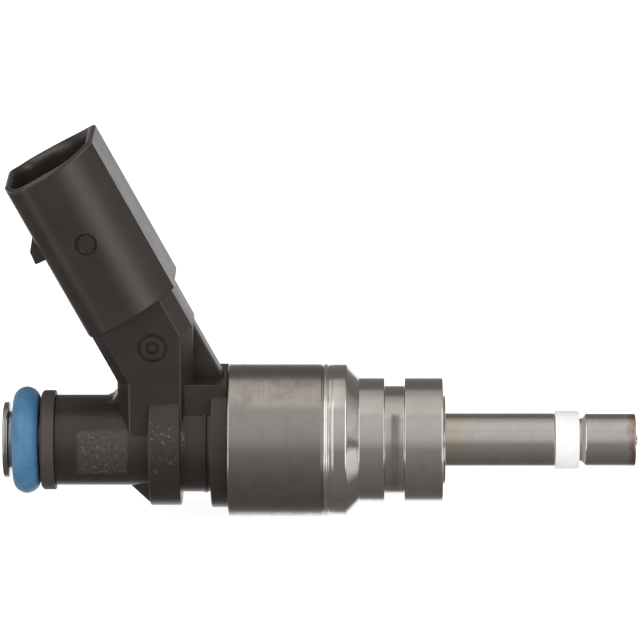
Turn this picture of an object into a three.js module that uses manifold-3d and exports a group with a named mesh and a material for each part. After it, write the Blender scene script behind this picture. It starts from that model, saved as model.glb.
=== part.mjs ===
// Solenoid fuel injector for direct petrol injection, in millimetres, +Z up.
// The injector's axis is X, with +X towards the spray tip. The origin is on that axis, in the plane of
// the shoulder that seats in the cylinder head. The electrical connector leans up and back in the XZ plane.
import * as THREE from "three";
import { mergeVertices } from "three/addons/utils/BufferGeometryUtils.js";
import Module from "manifold-3d";

const wasm = await Module();
wasm.setup();

// ---------------------------------------------------------------- driving dimensions

// Facets round a turned piece: large, medium and small. Pieces that nest use the same count.
const ROUND = 48;
const MEDIUM = 32;
const SMALL = 24;

const FIT = 0.01; // radial gap of a pressed or welded fit
const RUNNING = 0.05; // radial gap of a running fit
const MOULD_GAP = 0.06; // gap between the moulding and the metal it is moulded round
const CUT_GAP = 0.2; // gap round a blade that crosses a moulded or stamped piece

// Stations along the axis.
const INLET_END = -62.5;
const TUBE_START = -55.1;
const CLIP_RING_START = -41.6;
const CLIP_GROOVE_START = -37.15;
const CLIP_GROOVE_END = -32.9;
const SHELL_START = -30.5;
const SPIGOT_END = -27.5;
const SHELL_END = -16.5;
const BAND_END = -13.7;
const CHAMFER_END = -11.9;
const BODY_GROOVE_START = -8.3;
const BODY_GROOVE_END = -5.45;
const SEAL_START = 15.9;
const SEAL_END = 19.4;
const NECK_END = 20.4;
const TIP_END = 27.4;

// Outer radii.
const LIP_R = 4.95;
const LIP_WIDTH = 0.75;
const INLET_R = 4.07;
const TUBE_R = 6.45;
const CLIP_RING_R = 9.3;
const CLIP_GROOVE_R = 7.4;
const COLLAR_R = 9.6;
const SHELL_R = 10.8;
const SHELL_BORE_R = 9.5;
const FLANGE_R = 8.85;
const BODY_GROOVE_R = 7.6;
const SHAFT_R = 3.8;
const TIP_R = 3.75;
const SEAL_GROOVE_R = 2.95;
const SEAL_R = 4.15;

// Magnetic circuit.
const POLE_R = 5.55;
const POLE_START = -34;
const SHOULDER_START = POLE_START - 2; // where the inlet tube widens to meet the pole
const POLE_FACE = -21.51;
const POLE_BORE_R = 2.1;
const GAP_R = 4.55; // outer radius of the armature and of the pole's end
const RING_START = -23; // the non-magnetic ring bridges the working gap
const RING_END = -20.5;
const COIL_START = -26;
const COIL_END = -18;

// Moving valve. The armature first crosses its free travel, then carries the needle through its lift.
const LIFT = 0.08;
const FREE_TRAVEL = 0.05;
const ARMATURE_TOP = POLE_FACE + 0.01 + LIFT + FREE_TRAVEL;
const ARMATURE_LENGTH = 4.8;
const NEEDLE_R = 0.95;
const NEEDLE_TOP = -23.6;
const BALL_R = 1.5;
const BALL_X = 24.9;

// Connector: it leans back from the axis about a foot point, and its section is given across (p) and
// along Y (v). T is the distance from the foot along the connector's own axis.
const CONNECTOR_LEAN = THREE.MathUtils.degToRad(62);
const CONNECTOR_FOOT = -33.1;
const SHROUD_BOTTOM = 22.7;
const SHROUD_TOP = 47.6;
const SOCKET_FLOOR = 30.5;
const SHROUD_LOW_P = -7.0;
const SHROUD_HIGH_P = 7.15;
const SHROUD_HALF_WIDTH = 8.1;
const SHROUD_LOW_FLAT = 4.1; // half widths of the flat bands on the low and the high side
const SHROUD_HIGH_FLAT = 4.7;
const SHROUD_WALL = 1.4;
const NECK_HIGH_P = 5.9;
const NECK_HALF_WIDTH = 5.7;
const RIB_HALF_WIDTH = 1.55;
const BLADE_WIDTH = 2.8;
const BLADE_THICKNESS = 0.8;
const BLADE_PITCH = 5;

// ---------------------------------------------------------------- materials

function material(color, roughness, metalness) {
  return new THREE.MeshStandardMaterial({ color, roughness, metalness });
}

const plastic = material(0x3a3532, 0.62, 0);
const insert = material(0x4a3f3a, 0.6, 0);
const steel = material(0xa79f98, 0.34, 1);
const darkSteel = material(0x8d8884, 0.4, 1);
const brightSteel = material(0xc4beb8, 0.25, 1);
const copper = material(0xb06a3a, 0.3, 1);
const tin = material(0xc9c7c0, 0.3, 1);
const blueRubber = material(0x4a7ba5, 0.55, 0);
const whitePolymer = material(0xf0efec, 0.5, 0);
const naturalPlastic = material(0xd8cfae, 0.6, 0);

// ---------------------------------------------------------------- geometry helpers

// A closed solid for cutting and joining.
function solid(geometry) {
  const bare = geometry.clone();
  bare.deleteAttribute("normal");
  bare.deleteAttribute("uv");
  const merged = mergeVertices(bare, 1e-4);
  return new wasm.Manifold(
    new wasm.Mesh({
      numProp: 3,
      vertProperties: merged.attributes.position.array,
      triVerts: new Uint32Array(merged.index.array),
    }),
  );
}

function geometryOf(manifold) {
  const mesh = manifold.getMesh();
  const geometry = new THREE.BufferGeometry();
  geometry.setAttribute("position", new THREE.BufferAttribute(mesh.vertProperties, 3));
  geometry.setIndex(new THREE.BufferAttribute(mesh.triVerts, 1));
  geometry.computeVertexNormals();
  return geometry;
}

// A body turned about X. The profile lists [x, radius] from the low-x end to the high-x end along the
// outside, and back along the bore.
function turned(profile, facets = ROUND) {
  const points = profile.map(([x, radius]) => new THREE.Vector2(radius, x));
  points.push(points[0].clone());
  return new THREE.LatheGeometry(points, facets).rotateZ(-Math.PI / 2);
}

function ring(start, end, innerR, outerR, facets = ROUND) {
  const profile = [
    [start, innerR],
    [start, outerR],
    [end, outerR],
    [end, innerR],
  ];
  return turned(profile, facets);
}

// A flat outline in the XZ plane, extruded to both sides of it.
function slab(outline, halfWidth, bevel) {
  const shape = new THREE.Shape(outline.map(([x, z]) => new THREE.Vector2(x, z)));
  const depth = 2 * (halfWidth - (bevel ? bevel.depth : 0));
  const options = {
    depth,
    bevelEnabled: Boolean(bevel),
    bevelSegments: 1,
    bevelSize: bevel ? bevel.width : 0,
    bevelOffset: bevel ? -bevel.width : 0,
    bevelThickness: bevel ? bevel.depth : 0,
  };
  return new THREE.ExtrudeGeometry(shape, options).translate(0, 0, -depth / 2).rotateX(Math.PI / 2);
}

// Points along an elliptical arc, for turned profiles and outlines.
function arc(centreX, centreR, radiusX, radiusR, from, to, steps) {
  return Array.from({ length: steps + 1 }, (_, i) => {
    const angle = from + ((to - from) * i) / steps;
    return [centreX + radiusX * Math.cos(angle), centreR + radiusR * Math.sin(angle)];
  });
}

const group = new THREE.Group();

function place(name, geometry, finish, x = 0) {
  const mesh = new THREE.Mesh(geometry, finish.clone());
  mesh.name = name;
  mesh.position.x = x;
  group.add(mesh);
  return mesh;
}

// ---------------------------------------------------------------- connector frame

const along = new THREE.Vector3(-Math.cos(CONNECTOR_LEAN), 0, Math.sin(CONNECTOR_LEAN));
const across = new THREE.Vector3(Math.sin(CONNECTOR_LEAN), 0, Math.cos(CONNECTOR_LEAN));
const foot = new THREE.Vector3(CONNECTOR_FOOT, 0, 0);
const connectorFrame = new THREE.Matrix4()
  .makeBasis(across, new THREE.Vector3(0, 1, 0), along)
  .setPosition(foot);

// The [x, z] point at p across and T along the connector.
function connectorPoint(p, t) {
  const point = foot.clone().addScaledVector(across, p).addScaledVector(along, t);
  return [point.x, point.z];
}

// The [x, z] point on the line of constant p where it crosses a given x.
function connectorLineAt(p, x) {
  const t = (CONNECTOR_FOOT + p * across.x - x) / -along.x;
  return connectorPoint(p, t);
}

// The shroud's section, drawn in p and v: a narrow foot on the low side, straight flanks, and
// shoulders that curve in to a flat top. A positive inset draws the socket inside it.
function shroudSection(inset) {
  const low = SHROUD_LOW_P + inset;
  const high = SHROUD_HIGH_P - inset;
  const side = SHROUD_HALF_WIDTH - inset;
  const lowFlat = SHROUD_LOW_FLAT - inset * 0.4;
  const topFlat = SHROUD_HIGH_FLAT - inset * 0.6;
  const flankStart = SHROUD_LOW_P + 4;
  const flankEnd = 0.2;
  const shape = new THREE.Shape();
  shape.moveTo(low, -lowFlat);
  shape.quadraticCurveTo(low + 0.6, -side, flankStart, -side);
  shape.lineTo(flankEnd, -side);
  shape.bezierCurveTo(flankEnd + 3.6, -side, high - 1.2, -topFlat - 2.6, high, -topFlat);
  shape.lineTo(high, topFlat);
  shape.bezierCurveTo(high - 1.2, topFlat + 2.6, flankEnd + 3.6, side, flankEnd, side);
  shape.lineTo(flankStart, side);
  shape.quadraticCurveTo(low + 0.6, side, low, lowFlat);
  return shape;
}

function shroudSolid(inset, from, to) {
  const geometry = new THREE.ExtrudeGeometry(shroudSection(inset), {
    depth: to - from,
    bevelEnabled: false,
    curveSegments: 8,
  });
  return solid(geometry.translate(0, 0, from).applyMatrix4(connectorFrame));
}

// ---------------------------------------------------------------- terminals

// A terminal is a strip: up the connector, through the neck, and along to the coil.
const BLADE_TIP = 43.8;
const BLADE_BEND = 10.5;
const BLADE_RUN_Z = 8.1;
const BLADE_END = COIL_START - 0.1;

// The outline of a strip of constant thickness along a route of [x, z] points.
function stripOutline(route, thickness, extra) {
  const points = route.map(([x, z]) => new THREE.Vector2(x, z));
  const sides = [[], []];
  points.forEach((point, i) => {
    const before = points[Math.max(i - 1, 0)];
    const after = points[Math.min(i + 1, points.length - 1)];
    const inward = i > 0 ? point.clone().sub(before) : after.clone().sub(point);
    const outward = i < points.length - 1 ? after.clone().sub(point) : inward.clone();
    inward.normalize();
    outward.normalize();
    const tangent = inward.clone().add(outward).normalize();
    const normal = new THREE.Vector2(-tangent.y, tangent.x);
    const half = (thickness / 2 + extra) / tangent.dot(inward);
    const end = i === 0 ? -extra : i === points.length - 1 ? extra : 0;
    const base = point.clone().addScaledVector(tangent, end);
    sides[0].push(base.clone().addScaledVector(normal, half));
    sides[1].unshift(base.clone().addScaledVector(normal, -half));
  });
  return [...sides[0], ...sides[1]].map((point) => [point.x, point.y]);
}

const bladeRoute = [
  connectorPoint(0, BLADE_TIP),
  connectorPoint(0, BLADE_BEND),
  [CLIP_GROOVE_END - 3.2, BLADE_RUN_Z],
  [BLADE_END, BLADE_RUN_Z],
];

function bladeSlab(y, extra) {
  const outline = stripOutline(bladeRoute, BLADE_THICKNESS, extra);
  return slab(outline, BLADE_WIDTH / 2 + extra).translate(0, y, 0);
}

const bladeSides = [-BLADE_PITCH / 2, BLADE_PITCH / 2];
bladeSides.forEach((y, i) => place(`terminal_${i + 1}`, bladeSlab(y, 0), tin));

const bladeChannels = bladeSides.map((y) => solid(bladeSlab(y, CUT_GAP)));

// ---------------------------------------------------------------- moulded housing

function housing() {
  const barrel = solid(
    turned([
      [TUBE_START, INLET_R + MOULD_GAP],
      [TUBE_START, TUBE_R],
      [CLIP_RING_START, TUBE_R],
      [CLIP_RING_START, CLIP_RING_R],
      [CLIP_GROOVE_START, CLIP_RING_R],
      [CLIP_GROOVE_START, CLIP_GROOVE_R],
      [CLIP_GROOVE_END, CLIP_GROOVE_R],
      [CLIP_GROOVE_END, COLLAR_R],
      [SHELL_START, COLLAR_R],
      [SHELL_START, SHELL_BORE_R - MOULD_GAP],
      [SPIGOT_END, SHELL_BORE_R - MOULD_GAP],
      [SPIGOT_END, POLE_R + MOULD_GAP],
      [SHOULDER_START - MOULD_GAP, POLE_R + MOULD_GAP],
      [SHOULDER_START - MOULD_GAP, INLET_R + MOULD_GAP],
    ]),
  );

  // The neck: chamfered all round, flush with the shroud's low side.
  const neckLeft = -46.1;
  const neckRight = -35.5;
  const neckBase = 1.7;
  const neckOutline = [
    [neckLeft, neckBase],
    [neckRight, neckBase],
    connectorLineAt(NECK_HIGH_P, neckRight),
    connectorPoint(NECK_HIGH_P, SHROUD_BOTTOM + 3),
    connectorPoint(SHROUD_LOW_P + 0.1, SHROUD_BOTTOM + 3),
    connectorLineAt(SHROUD_LOW_P + 0.1, neckLeft),
  ];
  const neck = solid(slab(neckOutline, NECK_HALF_WIDTH, { width: 1.7, depth: 2.6 }));

  // The block over the clip groove, and the rib from it up to the shroud.
  const blockTop = 9.8;
  const blockHalfWidth = 5.2;
  const blockOutline = [
    [CLIP_GROOVE_START - 1, 5],
    [SHELL_START, 5],
    [SHELL_START, blockTop],
    [CLIP_GROOVE_START - 1, blockTop],
  ];
  const block = solid(slab(blockOutline, blockHalfWidth));
  const ribFootX = connectorPoint(NECK_HIGH_P, (blockTop - NECK_HIGH_P * across.z) / along.z)[0];
  const ribOutline = [
    [CLIP_GROOVE_START, blockTop - 2],
    [ribFootX, blockTop - 2],
    [ribFootX, blockTop],
    connectorPoint(NECK_HIGH_P, SHROUD_BOTTOM + 3),
    connectorPoint(0, SHROUD_BOTTOM + 3),
  ];
  const rib = solid(slab(ribOutline, RIB_HALF_WIDTH));

  // The small gusset under the barrel, against the clip ring.
  const gussetOutline = [
    [CLIP_RING_START - 2.8, -5.5],
    [CLIP_RING_START - 2.8, -6.4],
    [CLIP_RING_START, -CLIP_RING_R + 0.2],
    [CLIP_RING_START + 1, -CLIP_RING_R + 0.2],
    [CLIP_RING_START + 1, -5.5],
  ];
  const gusset = solid(slab(gussetOutline, RIB_HALF_WIDTH));

  // The fillet from the barrel up to the neck.
  const filletRadius = 2.1;
  const filletX = neckLeft - filletRadius;
  const filletZ = TUBE_R + filletRadius - 0.4;
  const filletArc = arc(filletX, filletZ, filletRadius, filletRadius, 0, -Math.PI / 2, 6);
  const filletOutline = [
    ...filletArc,
    [filletX, 5],
    [neckLeft + 2, 5],
    [neckLeft + 2, filletZ],
  ];
  const fillet = solid(slab(filletOutline.reverse(), 2.2));

  // The shroud with its socket, the nose that the plug's latch catches, and the round dimples.
  const shroud = shroudSolid(0, SHROUD_BOTTOM, SHROUD_TOP);
  const socket = shroudSolid(SHROUD_WALL, SOCKET_FLOOR, SHROUD_TOP + 1);
  const noseHalfWidth = 2.6;
  const noseOutline = [
    connectorPoint(SHROUD_LOW_P + 0.8, 38.8),
    connectorPoint(SHROUD_LOW_P, 38.8),
    connectorPoint(SHROUD_LOW_P - 1.3, 36.6),
    connectorPoint(SHROUD_LOW_P - 1.4, 35.2),
    connectorPoint(SHROUD_LOW_P, 34.9),
    connectorPoint(SHROUD_LOW_P + 0.8, 34.9),
  ];
  const nose = solid(slab(noseOutline, noseHalfWidth));
  const dimpleDepth = 0.25;
  const dimples = [-1, 1].map((side) => {
    const disc = new THREE.CylinderGeometry(1.55, 1.55, 2 * dimpleDepth, SMALL);
    disc.applyMatrix4(new THREE.Matrix4().makeTranslation(-0.1, side * SHROUD_HALF_WIDTH, 35.5));
    return solid(disc.applyMatrix4(connectorFrame));
  });

  // The bore is cut last, so that the neck, block and gusset don't fill it.
  const bore = solid(
    turned([
      [TUBE_START - 1, 0],
      [TUBE_START - 1, INLET_R + MOULD_GAP],
      [SHOULDER_START - MOULD_GAP, INLET_R + MOULD_GAP],
      [SHOULDER_START - MOULD_GAP, POLE_R + MOULD_GAP],
      [SPIGOT_END + 1, POLE_R + MOULD_GAP],
      [SPIGOT_END + 1, 0],
    ]),
  );
  const joined = [neck, block, rib, gusset, fillet, shroud, nose].reduce(
    (body, next) => body.add(next),
    barrel,
  );
  return [socket, bore, ...dimples, ...bladeChannels].reduce((body, cut) => body.subtract(cut), joined);
}

place("connector_housing", geometryOf(housing()), plastic);

// ---------------------------------------------------------------- fuel inlet

const INLET_BORE_R = 3.05;
place(
  "inlet_tube",
  turned([
    [0, INLET_BORE_R],
    [0, LIP_R - 0.2],
    [0.2, LIP_R],
    [LIP_WIDTH, LIP_R],
    [LIP_WIDTH, INLET_R],
    [SHOULDER_START - INLET_END, INLET_R],
    [SHOULDER_START - INLET_END, POLE_R],
    [POLE_START - INLET_END, POLE_R],
    [POLE_START - INLET_END, INLET_BORE_R],
  ]),
  steel,
  INLET_END,
);

const O_RING_X = -59.25;
const O_RING_HALF_WIDTH = 1.88;
const O_RING_HALF_HEIGHT = 1.76;
const oRingMiddleR = INLET_R + 0.03 + O_RING_HALF_HEIGHT;
const oRingSection = arc(0, oRingMiddleR, -O_RING_HALF_WIDTH, O_RING_HALF_HEIGHT, 0, 2 * Math.PI, 12);
place("inlet_o_ring", turned(oRingSection.slice(0, -1)), blueRubber, O_RING_X);

const BACKUP_RING_START = -57.1;
const BACKUP_RING_R = 7.1;
const BACKUP_RING_CHAMFER = 0.35;
const backupRingWidth = TUBE_START - 0.02 - BACKUP_RING_START;
place(
  "backup_ring",
  turned([
    [0, INLET_R + 0.04],
    [0, BACKUP_RING_R - BACKUP_RING_CHAMFER],
    [BACKUP_RING_CHAMFER, BACKUP_RING_R],
    [backupRingWidth, BACKUP_RING_R],
    [backupRingWidth, INLET_R + 0.04],
  ]),
  insert,
  BACKUP_RING_START,
);

// The filter: a turned collar with a slotted cup, and a woven sleeve inside the cup.
const FILTER_START = -61.9;
const FILTER_LENGTH = 9.5;
const FILTER_WINDOWS = 4;
function filterFrame() {
  const cup = solid(
    turned(
      [
        [0, 2.2],
        [0, INLET_BORE_R - FIT],
        [1.6, INLET_BORE_R - FIT],
        [1.7, 2.6],
        [FILTER_LENGTH, 2.6],
        [FILTER_LENGTH, 0],
        [FILTER_LENGTH - 0.8, 0],
        [FILTER_LENGTH - 0.8, 2.2],
      ],
      MEDIUM,
    ),
  );
  const windowLength = 5.6;
  const windowWidth = 2.2;
  return Array.from({ length: FILTER_WINDOWS }, (_, i) => {
    const box = new THREE.BoxGeometry(windowLength, windowWidth, 2).translate(5.2, 0, 2.6);
    return solid(box.rotateX((i * 2 * Math.PI) / FILTER_WINDOWS + Math.PI / FILTER_WINDOWS));
  }).reduce((body, cut) => body.subtract(cut), cup);
}
place("filter_frame", geometryOf(filterFrame()), naturalPlastic, FILTER_START);
place("filter_screen", ring(1, FILTER_LENGTH - 1, 2.0, 2.15, MEDIUM), darkSteel, FILTER_START);

// ---------------------------------------------------------------- magnet

place(
  "magnet_shell",
  turned([
    [0, SHELL_BORE_R],
    [0, SHELL_R - 0.35],
    [0.35, SHELL_R],
    [SHELL_END - SHELL_START, SHELL_R],
    [SHELL_END - SHELL_START, SHELL_BORE_R],
  ]),
  steel,
  SHELL_START,
);

place(
  "pole_core",
  turned([
    [POLE_START - 1.9, POLE_BORE_R],
    [POLE_START - 1.9, INLET_BORE_R - FIT],
    [POLE_START + 0.01, INLET_BORE_R - FIT],
    [POLE_START + 0.01, POLE_R],
    [RING_START, POLE_R],
    [RING_START, GAP_R],
    [POLE_FACE, GAP_R],
    [POLE_FACE, POLE_BORE_R],
  ]),
  darkSteel,
);

place("spacer_ring", ring(RING_START, RING_END, GAP_R + FIT, POLE_R), brightSteel);

// The upper washer has one notch that the terminals pass through.
function upperWasher() {
  const washer = solid(ring(0.05, COIL_START - SPIGOT_END - 0.05, POLE_R + FIT, SHELL_BORE_R - FIT));
  const notchWidth = BLADE_PITCH + BLADE_WIDTH + 2 * CUT_GAP;
  const notchFloor = BLADE_RUN_Z - BLADE_THICKNESS / 2 - CUT_GAP;
  const notch = new THREE.BoxGeometry(4, notchWidth, 4).translate(0, 0, notchFloor + 2);
  return washer.subtract(solid(notch));
}
place("upper_washer", geometryOf(upperWasher()), darkSteel, SPIGOT_END);

const BOBBIN_BARREL_R = 6.4;
const BOBBIN_FLANGE = 0.8;
place(
  "coil_bobbin",
  turned([
    [COIL_START, POLE_R + 0.05],
    [COIL_START, 9.2],
    [COIL_START + BOBBIN_FLANGE, 9.2],
    [COIL_START + BOBBIN_FLANGE, BOBBIN_BARREL_R],
    [COIL_END - BOBBIN_FLANGE, BOBBIN_BARREL_R],
    [COIL_END - BOBBIN_FLANGE, 9.2],
    [COIL_END, 9.2],
    [COIL_END, POLE_R + 0.05],
  ]),
  naturalPlastic,
);

// The winding: a ring whose outside is rippled by its turns of wire.
const WIRE_TURNS = 6;
function windingProfile() {
  const start = COIL_START + BOBBIN_FLANGE + 0.02;
  const end = COIL_END - BOBBIN_FLANGE - 0.02;
  const pitch = (end - start) / WIRE_TURNS;
  const crests = Array.from({ length: WIRE_TURNS }, (_, i) => [
    [start + i * pitch, 8.6],
    [start + (i + 0.5) * pitch, 8.8],
  ]).flat();
  return [[start, BOBBIN_BARREL_R + 0.1], ...crests, [end, 8.6], [end, BOBBIN_BARREL_R + 0.1]];
}
place("coil_winding", turned(windingProfile(), MEDIUM), copper);

// ---------------------------------------------------------------- valve body and nozzle

const SLEEVE_END = -15.4;
const GUIDE_BORE_R = GAP_R + RUNNING;
place(
  "valve_body",
  turned([
    [RING_END, GUIDE_BORE_R],
    [RING_END, POLE_R],
    [COIL_END + 0.05, POLE_R],
    [COIL_END + 0.05, SHELL_BORE_R - FIT],
    [SHELL_END, SHELL_BORE_R - FIT],
    [SHELL_END, SHELL_R],
    [BAND_END, SHELL_R],
    [CHAMFER_END, FLANGE_R],
    [BODY_GROOVE_START, FLANGE_R],
    [BODY_GROOVE_START, BODY_GROOVE_R],
    [BODY_GROOVE_END, BODY_GROOVE_R],
    [BODY_GROOVE_END, FLANGE_R],
    [-0.3, FLANGE_R],
    [0, FLANGE_R - 0.3],
    [0, 6.5],
    [0.35, 6.3],
    [0.35, SHAFT_R + FIT],
    [-9, SHAFT_R + FIT],
    [-9, 3.2],
    [SLEEVE_END + 3, 3.2],
    [SLEEVE_END + 3, GUIDE_BORE_R],
  ]),
  steel,
);

const NOZZLE_BORE_R = 2.4;
const NOZZLE_START = -8.99;
place(
  "nozzle_tube",
  turned([
    [NOZZLE_START, NOZZLE_BORE_R],
    [NOZZLE_START, SHAFT_R],
    [SEAL_START, SHAFT_R],
    [SEAL_START, SEAL_GROOVE_R],
    [SEAL_END + 0.5, SEAL_GROOVE_R],
    [NECK_END, TIP_R],
    [TIP_END, TIP_R],
    [TIP_END, NOZZLE_BORE_R],
  ]),
  steel,
);

const sealRing = ring(0.03, SEAL_END - SEAL_START, SEAL_GROOVE_R + FIT, SEAL_R);
place("combustion_seal", sealRing, whitePolymer, SEAL_START);

// The seat body closes the nozzle: guide bore, cone under the ball, sac, and a dome with spray holes.
const SEAT_LINE = BALL_X + (BALL_R + FIT) * Math.SQRT2; // x + r along the 45 degree cone
const BALL_GUIDE_R = BALL_R + RUNNING;
const SAC_R = 0.5;
const SAC_END = 27.1;
const SEAT_END = 27.4;
const DOME_R = 0.95;
const DOME_HEIGHT = 0.42;
const SPRAY_HOLES = 6;
const SPRAY_HOLE_R = 0.09;
const SPRAY_ANGLE = THREE.MathUtils.degToRad(24);
function seatBody() {
  const domeSphereR = (DOME_R ** 2 + DOME_HEIGHT ** 2) / (2 * DOME_HEIGHT);
  const domeAngle = Math.asin(DOME_R / domeSphereR);
  const domeCentre = SEAT_END + DOME_HEIGHT - domeSphereR;
  const body = solid(
    turned(
      [
        [BALL_X - 1.6, BALL_GUIDE_R],
        [BALL_X - 1.6, NOZZLE_BORE_R - FIT],
        [SEAT_END, NOZZLE_BORE_R - FIT],
        ...arc(domeCentre, 0, domeSphereR, domeSphereR, domeAngle, 0, 4).slice(0, -1),
        [SEAT_END + DOME_HEIGHT, 0],
        [SAC_END, 0],
        [SAC_END - 0.2, SAC_R],
        [SEAT_LINE - SAC_R, SAC_R],
        [SEAT_LINE - BALL_GUIDE_R, BALL_GUIDE_R],
      ],
      SMALL,
    ),
  );
  return Array.from({ length: SPRAY_HOLES }, (_, i) => {
    const hole = new THREE.CylinderGeometry(SPRAY_HOLE_R, SPRAY_HOLE_R, 2, 6);
    hole.translate(0, 0.9, 0).rotateZ(-Math.PI / 2 + SPRAY_ANGLE).translate(SAC_END - 0.35, 0, 0);
    return solid(hole.rotateX((i * 2 * Math.PI) / SPRAY_HOLES));
  }).reduce((rest, hole) => rest.subtract(hole), body);
}
place("seat_body", geometryOf(seatBody()), brightSteel);

// A scalloped disc guides the needle and lets fuel past it.
const GUIDE_X = 20.6;
const SCALLOPS = 5;
function needleGuide() {
  const disc = solid(ring(0, 1.2, NEEDLE_R + RUNNING, NOZZLE_BORE_R - FIT, SMALL));
  return Array.from({ length: SCALLOPS }, (_, i) => {
    const scallop = new THREE.CylinderGeometry(0.45, 0.45, 4, 10).rotateZ(Math.PI / 2);
    return solid(scallop.translate(0, 0, 1.72).rotateX((i * 2 * Math.PI) / SCALLOPS));
  }).reduce((rest, scallop) => rest.subtract(scallop), disc);
}
place("needle_guide", geometryOf(needleGuide()), brightSteel, GUIDE_X);

// ---------------------------------------------------------------- moving valve

const BALL_FLAT = Math.sqrt(BALL_R ** 2 - (NEEDLE_R + 0.02) ** 2);
const needleLength = BALL_X - BALL_FLAT - NEEDLE_TOP;
place(
  "needle",
  turned(
    [
      [0, 0],
      [0, NEEDLE_R - 0.15],
      [0.15, NEEDLE_R],
      [needleLength, NEEDLE_R],
      [needleLength, 0],
    ],
    SMALL,
  ),
  brightSteel,
  NEEDLE_TOP,
);

const ballEdge = Math.asin((NEEDLE_R + 0.02) / BALL_R);
place(
  "valve_ball",
  turned(
    [
      [0.001 - BALL_FLAT, 0],
      ...arc(0, 0, -BALL_R, BALL_R, ballEdge, Math.PI, 9).slice(0, -1),
      [BALL_R, 0],
    ],
    SMALL,
  ),
  brightSteel,
  BALL_X,
);

const STOP_RING_LENGTH = 1.2;
const stopRingEnd = ARMATURE_TOP - FREE_TRAVEL;
place(
  "upper_stop_ring",
  ring(-STOP_RING_LENGTH, 0, NEEDLE_R + FIT, 1.9, SMALL),
  brightSteel,
  stopRingEnd,
);

const FUEL_HOLES = 6;
function armature() {
  const body = solid(ring(0, ARMATURE_LENGTH, NEEDLE_R + RUNNING, GAP_R));
  return Array.from({ length: FUEL_HOLES }, (_, i) => {
    const hole = new THREE.CylinderGeometry(0.55, 0.55, 2 * ARMATURE_LENGTH + 2, 12);
    return solid(hole.rotateZ(Math.PI / 2).translate(0, 0, 3.0).rotateX((i * 2 * Math.PI) / FUEL_HOLES));
  }).reduce((rest, hole) => rest.subtract(hole), body);
}
place("armature", geometryOf(armature()), darkSteel, ARMATURE_TOP);

// The lower stop: a flanged sleeve fixed on the needle, which the armature's own spring stands on.
const LOWER_STOP_X = ARMATURE_TOP + ARMATURE_LENGTH + FREE_TRAVEL;
place(
  "lower_stop_sleeve",
  turned(
    [
      [0, NEEDLE_R + FIT],
      [0, 1.5],
      [2.2, 1.5],
      [2.2, 2.7],
      [2.8, 2.7],
      [2.8, NEEDLE_R + FIT],
    ],
    SMALL,
  ),
  brightSteel,
  LOWER_STOP_X,
);

// ---------------------------------------------------------------- springs and calibration

class Helix extends THREE.Curve {
  constructor(radius, length, turns) {
    super();
    this.radius = radius;
    this.length = length;
    this.turns = turns;
  }
  getPoint(t, target = new THREE.Vector3()) {
    const angle = 2 * Math.PI * this.turns * t;
    return target.set(this.length * t, this.radius * Math.cos(angle), this.radius * Math.sin(angle));
  }
}

function coilSpring(radius, wireR, length, turns) {
  const section = new THREE.Shape().absarc(0, 0, wireR, 0, 2 * Math.PI);
  const options = {
    steps: turns * 12,
    bevelEnabled: false,
    curveSegments: 3,
    extrudePath: new Helix(radius, length - 2 * wireR, turns),
  };
  return new THREE.ExtrudeGeometry(section, options).translate(wireR, 0, 0);
}

const SPRING_START = -28.4;
const SPRING_LENGTH = stopRingEnd - STOP_RING_LENGTH - SPRING_START - 0.1;
place("return_spring", coilSpring(1.5, 0.22, SPRING_LENGTH, 7), brightSteel, SPRING_START + 0.05);

const ARMATURE_SPRING_START = ARMATURE_TOP + ARMATURE_LENGTH + 0.08;
const ARMATURE_SPRING_LENGTH = LOWER_STOP_X + 2.2 - ARMATURE_SPRING_START - 0.08;
place(
  "armature_spring",
  coilSpring(1.95, 0.14, ARMATURE_SPRING_LENGTH, 4),
  brightSteel,
  ARMATURE_SPRING_START,
);

place("adjusting_sleeve", ring(-6, 0, 1.2, POLE_BORE_R - FIT, MEDIUM), brightSteel, SPRING_START);

export default group;
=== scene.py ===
import math

import bmesh
import bpy
from mathutils import Matrix, Vector


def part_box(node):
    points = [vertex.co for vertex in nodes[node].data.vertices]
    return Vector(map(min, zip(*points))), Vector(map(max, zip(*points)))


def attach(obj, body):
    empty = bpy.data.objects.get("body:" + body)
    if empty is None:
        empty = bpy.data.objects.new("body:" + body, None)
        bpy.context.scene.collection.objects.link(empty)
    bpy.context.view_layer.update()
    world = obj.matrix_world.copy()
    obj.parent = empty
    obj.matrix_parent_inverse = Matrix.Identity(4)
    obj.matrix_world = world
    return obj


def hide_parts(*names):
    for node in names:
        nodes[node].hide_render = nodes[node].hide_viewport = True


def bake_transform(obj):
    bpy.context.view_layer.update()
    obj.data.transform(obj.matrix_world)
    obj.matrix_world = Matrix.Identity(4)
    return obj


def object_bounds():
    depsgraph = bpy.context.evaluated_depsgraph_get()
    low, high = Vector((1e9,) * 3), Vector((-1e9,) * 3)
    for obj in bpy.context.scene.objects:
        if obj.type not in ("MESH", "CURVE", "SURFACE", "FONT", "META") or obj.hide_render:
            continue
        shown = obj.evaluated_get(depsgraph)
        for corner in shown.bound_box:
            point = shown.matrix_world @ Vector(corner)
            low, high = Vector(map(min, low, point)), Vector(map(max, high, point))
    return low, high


# The looks of a fuel injector round its CAD frame. The injector's axis is X, with +X to the tip.
# Lengths are in millimetres in this file, and MM turns them into the scene's metres.
MM = 0.001

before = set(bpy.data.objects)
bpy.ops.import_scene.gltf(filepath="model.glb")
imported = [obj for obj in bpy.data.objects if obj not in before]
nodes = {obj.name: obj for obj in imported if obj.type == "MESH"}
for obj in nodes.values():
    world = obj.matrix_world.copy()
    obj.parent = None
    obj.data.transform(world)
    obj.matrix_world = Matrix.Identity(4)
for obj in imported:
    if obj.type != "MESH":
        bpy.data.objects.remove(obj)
cad_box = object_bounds()
scene = bpy.context.scene

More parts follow.
